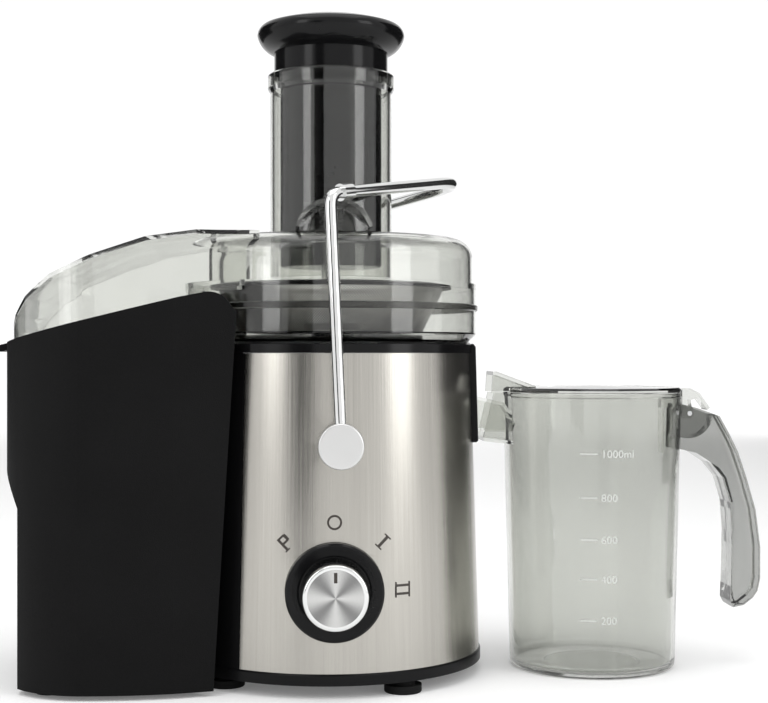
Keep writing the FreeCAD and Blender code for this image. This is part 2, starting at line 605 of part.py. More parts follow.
def corner_arc(before, corner, after, radius):
    """Tangent points and middle of an arc that rounds a corner in space."""
    into, out = (before - corner).normalize(), (after - corner).normalize()
    half = into.getAngle(out) / 2.0
    reach = radius / math.tan(half)
    bisector = (into + out).normalize()
    centre = corner + bisector * (radius / math.sin(half))
    return corner + into * reach, centre - bisector * radius, corner + out * reach


half_width = value("bail_half_width")
loop_radius = value("bail_loop_radius")
loop_x = value("bail_loop_x")
leg_top = vec(value("pivot_x") - 6.5, -half_width, value("bail_top"))
slope = value("bail_rise") / (loop_x + loop_radius - leg_top.x)


def raised(x, y):
    return vec(x, y, leg_top.z + slope * (x - leg_top.x))


reach = math.hypot(leg_top.x - loop_x, half_width)
tangent = (math.atan2(-half_width, leg_top.x - loop_x) + math.acos(loop_radius / reach))
touch = raised(loop_x + loop_radius * math.cos(tangent), loop_radius * math.sin(tangent))
leg_foot = vec(value("pivot_x"), -half_width, value("pivot_height + 6.6"))
bend_in, bend_mid, bend_out = corner_arc(leg_foot, leg_top, touch, value("bail_bend"))


def mirrored(point):
    return vec(point.x, -point.y, point.z)


def quarter(share):
    angle = tangent * share
    return raised(loop_x + loop_radius * math.cos(angle), loop_radius * math.sin(angle))


front_half = [Part.LineSegment(leg_foot, bend_in).toShape(),
              Part.Arc(bend_in, bend_mid, bend_out).toShape(),
              Part.LineSegment(bend_out, touch).toShape()]
arm_way = (touch - bend_out).normalize()
curve = Part.BSplineCurve()
curve.interpolate(
    [quarter(share) for share in (1, 0.75, 0.5, 0.25, 0, -0.25, -0.5, -0.75, -1)],
    InitialTangent=arm_way, FinalTangent=vec(-arm_way.x, arm_way.y, -arm_way.z))
rear_half = [Part.LineSegment(mirrored(touch), mirrored(bend_out)).toShape(),
             Part.Arc(mirrored(bend_out), mirrored(bend_mid), mirrored(bend_in)).toShape(),
             Part.LineSegment(mirrored(bend_in), mirrored(leg_foot)).toShape()]
path = Part.Wire(front_half + [curve.toShape()] + rear_half)
leg_way = bend_in - leg_foot
section = Part.Wire(Part.Circle(leg_foot, leg_way, value("bail_rod_radius")).toShape())
bail_rod = doc.addObject("Part::Feature", "bail_rod")
bail_rod.Label = "bail_rod"
bail_rod.Shape = path.makePipeShell([section], True, False)
nodes.append(bail_rod)

ferrules = doc.addObject("Part::Feature", "bail_ferrules")
ferrules.Label = "bail_ferrules"
sleeves = []
for start, way in ((bend_out, arm_way), (mirrored(bend_out), mirrored(arm_way))):
    start = start + way * 1.0
    sleeve = Part.makeCylinder(value("ferrule_radius"), value("ferrule_length"), start, way)
    bore = Part.makeCylinder(value("bail_rod_radius + 0.02"), value("ferrule_length + 2"),
                             start - way, way)
    sleeves.append(sleeve.cut(bore))
ferrules.Shape = Part.makeCompound(sleeves)
nodes.append(ferrules)

# ---------------------------------------------------------------- motor and rotor
shaft = new_body("shaft")
disc(shaft, 62, 216, "shaft_radius")
armature = new_body("armature_core")
ring(armature, "stator_low + 2", "stator_high - 2", "armature_radius", "shaft_radius + 0.02")
groove = push(armature, outline(armature, "XY", [
    ("armature_radius - 7", -1.2), ("armature_radius + 1", -1.2),
    ("armature_radius + 1", 1.2), ("armature_radius - 7", 1.2)]), 200, cut=True, back=True)
around(armature, groove, 12)
winding = new_body("armature_winding")
for low, high in (("stator_low - 4", "stator_low + 1.9"), ("stator_high - 1.9",
                                                          "stator_high + 4")):
    ring(winding, low, high, "armature_radius - 3", "shaft_radius + 0.05")
commutator = new_body("commutator")
ring(commutator, 74, 89, 14, "shaft_radius + 0.05")
fan = new_body("cooling_fan")
ring(fan, 146, 148, "fan_radius - 2", "shaft_radius + 0.05")
ring(fan, 148, 158, 8, "shaft_radius + 0.05")
blade = push(fan, outline(fan, "XY", [(7, -1), ("fan_radius - 2", -1), ("fan_radius - 2", 1),
                                      (7, 1)], 147.5), 10)
around(fan, blade, 9)

bearings = new_body("bearings")
for low in (65, 192):
    ring(bearings, low, "%d + bearing_width" % low, "bearing_radius",
         "shaft_radius + run_gap")
lower = new_body("lower_bracket")
ring(lower, "bracket_low", "bracket_low + 3", "stack_radius", "shaft_radius + 1")
ring(lower, "bracket_low + 2", 72, "bearing_radius + 3", "bearing_radius + seat_gap")
push(lower, circles(lower, "XY", at(SCREWS, "screw_radius + 0.05")), 100, cut=True, back=True)
upper = new_body("upper_bracket")
ring(upper, "bracket_high", "bracket_high + 3", "stack_radius", 30)
push(upper, circles(upper, "XY", at(SCREWS, "screw_radius + 0.05")), 200, cut=True, back=True)
stator = new_body("stator_core")
ring(stator, "stator_low", "stator_high", "stack_radius", "stator_inner")
push(stator, circles(stator, "XY", at(SCREWS, "screw_radius + 0.05")), 200, cut=True,
     back=True)
for way in (1, -1):
    push(stator, outline(stator, "XY", [
        (28, "%d * 8" % way), (38, "%d * 8" % way), (38, "%d * 14" % way),
        (28, "%d * 14" % way)]), 200, cut=True, back=True)
    push(stator, outline(stator, "XY", [
        (-28, "%d * 8" % way), (-38, "%d * 8" % way), (-38, "%d * 14" % way),
        (-28, "%d * 14" % way)]), 200, cut=True, back=True)
coils = new_body("field_coils")
for low, high in (("stator_low - 7", "stator_low - seat_gap"),
                  ("stator_high + seat_gap", "stator_high + 5")):
    ring(coils, low, high, "stack_radius - 12", "armature_radius + 4")
motor_screws = new_body("motor_screws")
push(motor_screws, circles(motor_screws, "XY", at(SCREWS, "screw_radius + 1.8"),
                           "bracket_low - 3"), "3 - seat_gap")
push(motor_screws, circles(motor_screws, "XY", at(SCREWS, "screw_radius"),
                           "bracket_low - 2"), "195 - bracket_low + 2")
spacers = new_body("motor_spacers")
for low, high in (("bracket_low + 3 + seat_gap", "stator_low - seat_gap"),
                  ("stator_high + seat_gap", "bracket_high - seat_gap")):
    push(spacers, circles(spacers, "XY", at(SCREWS, "screw_radius + 2.4"), low),
         "%s - (%s)" % (high, low))
push(spacers, circles(spacers, "XY", at(SCREWS, "screw_radius + 0.05")), 200, cut=True,
     back=True)
dampers = new_body("motor_dampers")
push(dampers, circles(dampers, "XY", at(SCREWS, "screw_radius + 4"),
                      "bracket_high + 3 + seat_gap"), "180 - bracket_high - 3 - 2 * seat_gap")
push(dampers, circles(dampers, "XY", at(SCREWS, "screw_radius + 0.05")), 200, cut=True,
     back=True)
holders = new_body("brush_holders")
brushes = new_body("carbon_brushes")
for way in (1, -1):
    push(holders, outline(holders, "XZ", [
        ("%d * 17.6" % way, "bracket_low + 3 + seat_gap"),
        ("%d * 36" % way, "bracket_low + 3 + seat_gap"), ("%d * 36" % way, 87),
        ("%d * 17.6" % way, 87)]), 12, both=True)
    push(holders, outline(holders, "XZ", [
        ("%d * 10" % way, 77), ("%d * 34" % way, 77), ("%d * 34" % way, 85),
        ("%d * 10" % way, 85)]), 7, cut=True, both=True)
    push(brushes, outline(brushes, "XZ", [
        ("%d * 14.05" % way, 77.05), ("%d * 31" % way, 77.05), ("%d * 31" % way, 84.95),
        ("%d * 14.05" % way, 84.95)]), 6.9, both=True)

coupling = new_body("drive_coupling")
ring(coupling, 207.5, 222, "coupling_radius - 2", "shaft_radius + 0.02")
lug = push(coupling, outline(coupling, "XY", [
    ("coupling_radius - 4", -3), ("coupling_radius - 0.2", -3), ("coupling_radius - 0.2", 3),
    ("coupling_radius - 4", 3)], 207.5), 14.5)
around(coupling, lug, 3)
base = new_body("basket_base")
ring(base, 217, "basket_low - seat_gap", "basket_low_radius + 1", "coupling_radius")
ring(base, 218, 222.4, "coupling_radius + 3", "coupling_radius")
disc(base, 222.4, 225.4, "coupling_radius + 3")
basket = new_body("filter_basket")
turn(basket, outline(basket, "XZ", [
    ("basket_low_radius", "basket_low"), ("basket_low_radius + basket_skin", "basket_low"),
    ("basket_high_radius + basket_skin", "basket_high"),
    ("basket_high_radius", "basket_high")]))
grater = new_body("grater_disc")
ring(grater, "basket_low", "basket_low + 0.9", "basket_low_radius - 0.3",
     "coupling_radius + 3.1")
tooth_row = []
for radius in (26, 34, 42, 50):
    tooth = push(grater, outline(grater, "XY", [
        ("%d - 1.4" % radius, -0.5), ("%d + 1.4" % radius, -0.5), ("%d + 0.6" % radius, 0.5),
        ("%d - 0.6" % radius, 0.5)], "basket_low + 0.8"), 1.4)
    around(grater, tooth, 12)
basket_rim = new_body("basket_rim")
turn(basket_rim, outline(basket_rim, "XZ", [
    ("basket_high_radius - 1.6", "basket_high + seat_gap"),
    ("basket_rim_radius", "basket_high + seat_gap"), ("basket_rim_radius", "basket_high + 2"),
    ("basket_high_radius - 1.6", "basket_high + 3.4")]))

# ---------------------------------------------------------------- cord inlet and wiring block
inlet = new_body("cord_inlet")
push(inlet, circles(inlet, "XZ", [(0, 30, 8)], "-84"), 16, back=True)
push(inlet, circles(inlet, "XZ", [(0, 30, 10.5)], "-(%s + 0.2)" % wrap_at("30")), 3.4,
     back=True)
push(inlet, circles(inlet, "XZ", [(0, 30, 4.1)]), 120, cut=True)
terminal = new_body("terminal_block")
push(terminal, outline(terminal, "XY", [(-14, 56), (14, 56), (14, 68), (-14, 68)],
                       "foot_height + plate_thick + seat_gap"), 11)
for across in (-9, -3, 3, 9):
    push(terminal, circles(terminal, "XY", [(across, 62, 1.6)], 17), 8, cut=True, back=True)

# ---------------------------------------------------------------- pusher
pusher = new_body("pusher_body")
turn(pusher, outline(pusher, "XZ", [
    (0, "pusher_low"), ("pusher_radius - 2", "pusher_low", "2"),
    ("pusher_radius", "pusher_low + 2"), ("pusher_radius", "chute_top - 6"),
    ("pusher_neck_radius", "chute_top - 4"), ("pusher_neck_radius", "neck_top - seat_gap"),
    ("pusher_neck_radius - pusher_wall", "neck_top - seat_gap"),
    ("pusher_neck_radius - pusher_wall", "chute_top - 2"),
    ("pusher_radius - pusher_wall", "chute_top - 4.5"),
    ("pusher_radius - pusher_wall", "pusher_low + 3"), (0, "pusher_low + 3")]))
cap = new_body("pusher_cap")
turn(cap, outline(cap, "XZ", [
    (0, "neck_top + 2.4"), ("pusher_neck_radius - 4.6", "neck_top + 2.4"),
    ("pusher_neck_radius - 4.6", "neck_top - 8"), ("pusher_neck_radius - 2.5", "neck_top - 8"),
    ("pusher_neck_radius - 2.5", "neck_top"), ("pusher_neck_radius + 0.6", "neck_top", "15"),
    ("cap_radius", "cap_equator", "7"),
    ("cap_radius - 3.2", "cap_equator + 6",
     "((cap_radius - 3.2) ^ 2 + (cap_top - cap_equator - 6) ^ 2)"
     " / (2 * (cap_top - cap_equator - 6))"),
    (1, "cap_top"),
    (0, "cap_top")]))

# ---------------------------------------------------------------- pulp bin
RIM_SLOPE = "((bin_rim_right - bin_rim_left) / (bin_left - 78))"


def bin_block(label, inset):
    """Solid of the bin drawn in by the inset on every wall and on the floor."""
    block = new_body(label, export=False)
    half = "(bin_half - %s)" % inset
    left = "(bin_left - %s)" % inset
    push(block, outline(block, "XY", [
        (-40, "%s - 18" % half), (-96, "%s - 3" % half, "220"), (-152, half,
                                                                "bin_corner + 2"),
        ("-" + left, 36), ("-" + left, -36, "bin_corner + 2"),
        (-152, "-" + half, "220"), (-96, "-(%s - 3)" % half), (-40, "-(%s - 18)" % half)],
        "bin_low + " + inset), "250 - bin_low")
    turn(block, outline(block, "XZ", [
        (0, 0), ("bin_cone_low + " + inset, 0), ("bin_cone_high + " + inset, 260), (0, 260)]),
        cut=True)
    push(block, outline(block, "XZ", [
        (-260, -1), ("-bin_left_low + " + inset, -1), ("-bin_left_low + " + inset, 112),
        ("-bin_left - 0.1 + " + inset, 136), (-260, 136)]), 240, cut=True, both=True)
    return block


bin_outer = bin_block("bin_outer", "0")
lip = push(bin_outer, outline(bin_outer, "XZ", [
    (-191, 210.6), (-206.6, 206.8), (-207.6, 209), (-207, 211), (-191, 215)]),
    88, both=True)
bin_inner = bin_block("bin_inner", "bin_wall")
bin_shell = combine("Cut", "bin_shell", [bin_outer, bin_inner], export=False)
rim_cut = new_body("rim_cut", export=False)
push(rim_cut, outline(rim_cut, "XZ", [
    (-230, "bin_rim_left - 27.5 * " + RIM_SLOPE), (-92, "bin_rim_right - 14 * " + RIM_SLOPE),
    (-78, "bin_rim_right - 0.6", "-14"), (-62, "bin_rim_right - 9"), (-40, 216), (-40, 300),
    (-230, 300)]), 240, both=True)
combine("Cut", "pulp_bin", [bin_shell, rim_cut])
bin_feet = new_body("bin_feet")
push(bin_feet, circles(bin_feet, "XY", [
    (x, y, "bin_foot_radius") for x in (-122, -172) for y in (-68, 68)]),
    "bin_low - seat_gap")

# ---------------------------------------------------------------- jug
jug = place(new_body("jug"), "jug_x")
turn(jug, outline(jug, "XZ", [
    (0, 0.2), (30, 0.2), (32, 0), ("jug_low_radius - 4", 0, "4"), ("jug_low_radius", 4),
    ("jug_high_radius", "jug_top - 3"), ("jug_high_radius + 0.8", "jug_top - 2"),
    ("jug_high_radius + 0.8", "jug_top"),
    ("jug_high_radius - jug_wall", "jug_top"),
    ("jug_low_radius - jug_wall", "jug_floor + 4", "-3"),
    ("jug_low_radius - jug_wall - 3", "jug_floor"), (0, "jug_floor")]))
push(jug, outline(jug, "XZ", [
    ("119 - jug_x", 146.4), ("99 - jug_x", 148.6), ("98.6 - jug_x", 151),
    ("105.6 - jug_x", "jug_top"), ("119 - jug_x", "jug_top")]), "2 * beak_half", both=True)
push(jug, outline(jug, "XZ", [
    ("123 - jug_x", 148.8), ("116 - jug_x", 148.8), ("90 - jug_x", 152),
    ("90 - jug_x", "jug_top + 5"), ("123 - jug_x", "jug_top + 5")]),
    "2 * beak_half - 2 * beak_wall", cut=True, both=True)

handle = place(new_body("jug_handle"), "jug_x")
push(handle, outline(handle, "XZ", [
    (x if isinstance(x, str) else "%s - jug_x" % x, z) for x, z in [
        (224, 144), (224, 174), (240.2, 169.8), (256, 164.2), (262.6, 152.4),
        (268.2, 140.9), (273.9, 123.8), (280, 102.6), (283.2, 77.4), (283.2, 57.3),
        (281.4, 49), (278, 44.2), (272, 39.6), (264.9, 38.2), (262.9, 42.2),
        (263.7, 62.4), (264.2, 87.6), (262.7, 107.7), (257.9, 123.8), (249.8, 133.9),
        (239.7, 140.4)]]), "2 * handle_half", both=True)
turn(handle, outline(handle, "XZ", [
    (0, 0), (jug_at("0") + " + 0.1", 0), (jug_at("jug_top - 3") + " + 0.1", "jug_top - 3"),
    (jug_at("jug_top") + " + 1", "jug_top"), (0, "jug_top")]), cut=True)
push(handle, circles(handle, "XZ", [("hinge_x", "hinge_height", "tab_clear")]),
     "2 * slot_half", cut=True, both=True)
push(handle, circles(handle, "XZ", [("hinge_x", "hinge_height",
                                     "hinge_pin_radius + seat_gap")]), 80, cut=True, both=True)
soften(handle, 2.5, lambda edge: edge.BoundBox.YLength < 0.01
       and abs(edge.BoundBox.YMin) > 14.4 and edge.BoundBox.XMin > 76
       and edge.BoundBox.DiagonalLength > 2)

hinge_pin = place(new_body("jug_hinge_pin"), "jug_x")
push(hinge_pin, circles(hinge_pin, "XZ", [("hinge_x", "hinge_height", "hinge_pin_radius")]),
     "2 * handle_half - 0.6", both=True)

separator = place(new_body("froth_separator"), "jug_x")
push(separator, outline(separator, "XZ", [
    (46, "jug_top - separator_drop - 3"), (48.2, "jug_top - separator_drop - 3"),
    (48.2, "jug_top - 4"), (46, "jug_top - 4")]), "2 * separator_half", both=True)
push(separator, outline(separator, "XZ", [
    (48, "jug_top - 10"), (60, "jug_top - 10"), (60, "jug_top - 4"), (48, "jug_top - 4")]),
    "2 * separator_half", both=True)
turn(separator, outline(separator, "XZ", [
    (jug_at("0") + " - jug_wall - seat_gap", 0),
    (jug_at("0") + " + 9", 0), (jug_at("jug_top") + " + 9", "jug_top"),
    (jug_at("jug_top") + " - jug_wall - seat_gap", "jug_top")]), cut=True)

ticks = new_body("ticks_plain", export=False)
for height in (37.6, 63.6, 88.6, 115, 142.6):
    push(ticks, outline(ticks, "XZ", [
        (-18, "%s - 0.4" % height), (-7.3, "%s - 0.4" % height),
        (-7.3, "%s + 0.4" % height), (-18, "%s + 0.4" % height)], 20), 60)
place(ticks, "jug_x")
ticks_skin = place(new_body("ticks_skin", export=False), "jug_x")
turn(ticks_skin, outline(ticks_skin, "XZ", [
    (jug_at("10") + " + 0.06", 10), (jug_at("10") + " + 0.4", 10),
    (jug_at("170") + " + 0.4", 170), (jug_at("170") + " + 0.06", 170)]))
combine("MultiCommon", "jug_scale", [ticks, ticks_skin])

jug_lid = place(new_body("jug_lid"), "jug_x")
turn(jug_lid, outline(jug_lid, "XZ", [
    (0, "jug_lid_low"), ("jug_high_radius + 0.8", "jug_lid_low"),
    ("jug_high_radius + 0.8", "jug_lid_low + 1.6"), ("jug_high_radius - 1", "jug_lid_low + 3"),
    ("jug_high_radius - 4", "jug_lid_low + jug_lid_thick"),
    (0, "jug_lid_low + jug_lid_thick + 1.8")]))
push(jug_lid, outline(jug_lid, "XZ", [
    ("133 - jug_x", "jug_lid_low"), ("133 - jug_x", 184.4), ("107.4 - jug_x", 194),
    ("105 - jug_x", 194), ("104 - jug_x", "jug_lid_low")]), "2 * beak_half", both=True)
push(jug_lid, outline(jug_lid, "XZ", [
    ("129 - jug_x", 170), ("129 - jug_x", 183.4), ("107.4 - jug_x", 191.6),
    ("90 - jug_x", 191.6), ("90 - jug_x", 170)]), "2 * beak_half - 2 * beak_wall", cut=True,
    both=True)
push(jug_lid, outline(jug_lid, "XZ", [
    ("226 - jug_x", "jug_lid_low"), ("232.4 - jug_x", "jug_lid_low"),
    ("232.4 - jug_x", "hinge_height"), ("237 - jug_x", "hinge_height - 2"),
    ("239.2 - jug_x", "hinge_height"), ("238 - jug_x", 175), ("243.4 - jug_x", 176.4),
    ("249.2 - jug_x", 168.4), ("250.8 - jug_x", 169.8), ("244 - jug_x", 179.4),
    ("238 - jug_x", 182.6), ("226 - jug_x", "jug_lid_low + jug_lid_thick")]),
    "2 * slot_half - 1", both=True)
push(jug_lid, circles(jug_lid, "XZ", [("hinge_x", "hinge_height", "knuckle_radius")]),
     "2 * slot_half - 1", both=True)
push(jug_lid, circles(jug_lid, "XZ", [("hinge_x", "hinge_height",
                                       "hinge_pin_radius + run_gap")]), 60, cut=True, both=True)

# ---------------------------------------------------------------- checks and export
doc.recompute()
for obj in doc.Objects:
    bad = [state for state in obj.State if state in ("Invalid", "Error")]
    if bad:
        raise RuntimeError("%s is %s" % (obj.Label, bad))
for node in nodes:
    if node.Shape.isNull() or not node.Shape.isValid() or not node.Shape.Solids:
        raise RuntimeError("%s has no valid solid" % node.Label)
for node in nodes:
    node.Shape.exportStep("parts/%s.step" % node.Label)
print("%d nodes" % len(nodes))
for node in nodes:
    box = node.Shape.BoundBox
    print("%-18s %2d solids %10.0f mm3  x %7.1f %7.1f  y %7.1f %7.1f  z %6.1f %6.1f" % (
        node.Label, len(node.Shape.Solids), node.Shape.Volume,
        box.XMin, box.XMax, box.YMin, box.YMax, box.ZMin, box.ZMax))
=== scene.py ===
import json
import math

import bpy
import numpy as np
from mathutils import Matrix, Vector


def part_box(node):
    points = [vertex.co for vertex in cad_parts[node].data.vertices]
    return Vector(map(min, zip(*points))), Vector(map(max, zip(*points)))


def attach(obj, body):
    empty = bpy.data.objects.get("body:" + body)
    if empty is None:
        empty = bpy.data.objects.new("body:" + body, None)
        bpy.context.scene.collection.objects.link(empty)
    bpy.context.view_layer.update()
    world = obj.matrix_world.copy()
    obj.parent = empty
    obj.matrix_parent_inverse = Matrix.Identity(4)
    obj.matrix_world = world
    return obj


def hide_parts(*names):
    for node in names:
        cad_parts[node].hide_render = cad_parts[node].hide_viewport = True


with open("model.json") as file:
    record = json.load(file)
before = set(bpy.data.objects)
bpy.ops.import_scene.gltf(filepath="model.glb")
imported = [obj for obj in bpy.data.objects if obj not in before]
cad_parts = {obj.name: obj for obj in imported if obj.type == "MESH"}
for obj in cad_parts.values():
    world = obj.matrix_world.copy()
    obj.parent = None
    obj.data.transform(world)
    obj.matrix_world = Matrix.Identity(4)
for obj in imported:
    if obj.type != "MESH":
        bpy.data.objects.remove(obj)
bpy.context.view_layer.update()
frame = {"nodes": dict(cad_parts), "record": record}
NODES = frame["nodes"]
MM = 0.001


# ---------------------------------------------------------------- shader maths
class Sock:
    """One value on its way through a material; the usual operators add Math nodes."""

    def __init__(self, shop, socket):
        self.shop, self.socket = shop, socket

    def maths(self, operation, *values):
        return self.shop.node("ShaderNodeMath", {"operation": operation}, list(values))

    def __add__(self, other):
        return self.maths("ADD", self, other)

    def __sub__(self, other):
        return self.maths("SUBTRACT", self, other)

    def __rsub__(self, other):
        return self.maths("SUBTRACT", other, self)

    def __mul__(self, other):
        return self.maths("MULTIPLY", self, other)

    def __truediv__(self, other):
        return self.maths("DIVIDE", self, other)

    def __gt__(self, other):
        return self.maths("GREATER_THAN", self, other)

    __radd__ = __add__
    __rmul__ = __mul__


class Shop:
    """The nodes of one finish, around a Principled shader."""

    def __init__(self, name, **constants):
        self.material = bpy.data.materials.new(name)
        self.material.use_nodes = True
        self.tree = self.material.node_tree
        self.shader = self.tree.nodes["Principled BSDF"]
        for key, value in constants.items():
            self.shader.inputs[key.replace("_", " ")].default_value = value

    def node(self, kind, settings=None, inputs=(), output=0):
        made = self.tree.nodes.new(kind)
        for key, value in (settings or {}).items():
            setattr(made, key, value)
        pairs = inputs.items() if isinstance(inputs, dict) else enumerate(inputs)
        for key, value in pairs:
            if isinstance(value, Sock):
                self.tree.links.new(value.socket, made.inputs[key])
            else:
                made.inputs[key].default_value = value
        return Sock(self, made.outputs[output])

    def place(self, stretch=(1, 1, 1), centre=(0, 0, 0)):
        """Object coordinates, moved to a centre and stretched per axis."""
        own = self.node("ShaderNodeTexCoord", output="Object")
        moved = self.node("ShaderNodeVectorMath", {"operation": "SUBTRACT"}, [own, centre])
        return self.node("ShaderNodeVectorMath", {"operation": "MULTIPLY"}, [moved, stretch])

    def noise(self, vector, scale, detail=3.0, rough=0.5):
        return self.node("ShaderNodeTexNoise", {}, {
            "Vector": vector, "Scale": scale, "Detail": detail, "Roughness": rough})

    def split(self, vector):
        made = self.tree.nodes.new("ShaderNodeSeparateXYZ")
        self.tree.links.new(vector.socket, made.inputs[0])
        return [Sock(self, made.outputs[key]) for key in "XYZ"]

    def join(self, x, y, z):
        return self.node("ShaderNodeCombineXYZ", {}, [x, y, z])

    def blend(self, share, low, high):
        """Colour between two by a share from 0 to 1."""
        made = self.tree.nodes.new("ShaderNodeMix")
        made.data_type = "RGBA"
        made.inputs[6].default_value = (*low, 1)
        made.inputs[7].default_value = (*high, 1)
        self.tree.links.new(share.socket, made.inputs[0])
        return Sock(self, made.outputs[2])

    def feed(self, **values):
        for key, value in values.items():
            self.tree.links.new(value.socket, self.shader.inputs[key.replace("_", " ")])

    def relief(self, height, depth, strength=1.0):
        self.feed(Normal=self.node("ShaderNodeBump", {}, {
            "Height": height, "Distance": depth, "Strength": strength}))


def moulded(name, low, high, rough, grain, depth, spread=0.06, **constants):
    """Moulded plastic or rubber: fine grain in relief, with faint wear in colour and gloss."""
    shop = Shop(name, **constants)
    spot = shop.place()
    fine = shop.noise(spot, grain, 3.0)
    broad = shop.noise(spot, 22.0, 4.0)
    shop.feed(Base_Color=shop.blend(broad * 0.6 + fine * 0.4, low, high),
              Roughness=broad * spread + fine * spread + (rough - spread))
    shop.relief(fine, depth)
    return shop.material


def clear(name, tint, edge, rough=0.03, streak=30.0):
    """Smoke-tinted clear plastic with slight moulding waviness."""
    shop = Shop(name, Transmission_Weight=1.0, IOR=1.46)
    waves = shop.noise(shop.place((1, 1, 0.35)), streak, 2.0)
    fine = shop.noise(shop.place(), 420.0, 2.0)
    shop.feed(Base_Color=shop.blend(waves, tint, edge), Roughness=fine * 0.03 + rough)
    shop.relief(waves, 0.0003, 0.5)
    return shop.material


def brushed(name, low, high, rough, around=True, centre=(0, 0, 0), grain=900.0):
    """Brushed metal: hairlines run up the height, one thread per small step round the axis,
    or in rings about the centre of a spun face, where the base colour also carries a painted
    highlight in four soft rays."""
    shop = Shop(name, Metallic=1.0)
    x, y, z = shop.split(shop.place(centre=centre))
    if around:
        turn = shop.node("ShaderNodeMath", {"operation": "ARCTAN2"}, [y, x])
        thread = shop.join(turn * (grain / 8.0), z * 7.0, turn * 3.0)
        broad = shop.join(turn * 6.0, z * 1.5, 0.0)
    else:
        reach = shop.node("ShaderNodeMath", {"operation": "SQRT"}, [x * x + z * z])
        turn = shop.node("ShaderNodeMath", {"operation": "ARCTAN2"}, [z, x])
        thread = shop.join(reach * grain, 0.0, 0.0)
        # painted highlight: four soft rays of light painted into the base colour, where the
        # spun rings would catch the light
        broad = shop.node("ShaderNodeMath", {"operation": "COSINE"}, [turn * 4.0])
    hair = shop.noise(thread, 1.0, 4.0, 0.7)
    tone_or_painted_rays = shop.noise(broad, 1.0, 2.0) if around else broad * 0.5 + 0.5
    share = (0.65, 0.35) if around else (0.25, 0.75)
    shop.feed(Base_Color=shop.blend(hair * share[0] + tone_or_painted_rays * share[1], low, high),
              Roughness=hair * 0.16 + (rough - 0.08))
    shop.relief(hair, 0.00006, 0.6)
    return shop.material


def plated(name, colour, rough):
    """Bright plating with the faintest haze and orange peel."""
    shop = Shop(name, Metallic=1.0)
    haze = shop.noise(shop.place(), 60.0, 3.0)
    shop.feed(Base_Color=shop.blend(haze, tuple(c * 0.94 for c in colour), colour),
              Roughness=haze * 0.05 + rough)
    shop.relief(haze, 0.00002, 0.4)
    return shop.material


def wound(name, low, high, pitch):
    """Enamelled wire laid in rows up the height."""
    shop = Shop(name, Metallic=0.9)
    x, y, z = shop.split(shop.place())
    rows = shop.node("ShaderNodeMath", {"operation": "SINE"}, [z * (math.tau / pitch)])
    mottle = shop.noise(shop.place(), 300.0)
    shop.feed(Base_Color=shop.blend(mottle, low, high), Roughness=mottle * 0.15 + 0.25)
    shop.relief(rows, 0.0002)
    return shop.material


def meshed(name, low, high, pitch):
    """Pierced sieve steel: round holes on a staggered grid round the cone."""
    shop = Shop(name, Metallic=1.0)
    x, y, z = shop.split(shop.place())
    turn = shop.node("ShaderNodeMath", {"operation": "ARCTAN2"}, [y, x])
    across = turn * (66.0 * MM / pitch)
    up = z / pitch
    wave = (shop.node("ShaderNodeMath", {"operation": "SINE"}, [across * math.tau])
            * shop.node("ShaderNodeMath", {"operation": "SINE"}, [up * math.tau]))
    holes = wave > 0.28
    hair = shop.noise(shop.place(), 260.0)
    shop.feed(Base_Color=shop.blend(hair, low, high), Roughness=hair * 0.15 + 0.3,
              Alpha=1.0 - holes)
    shop.relief(wave, 0.00005)
    return shop.material


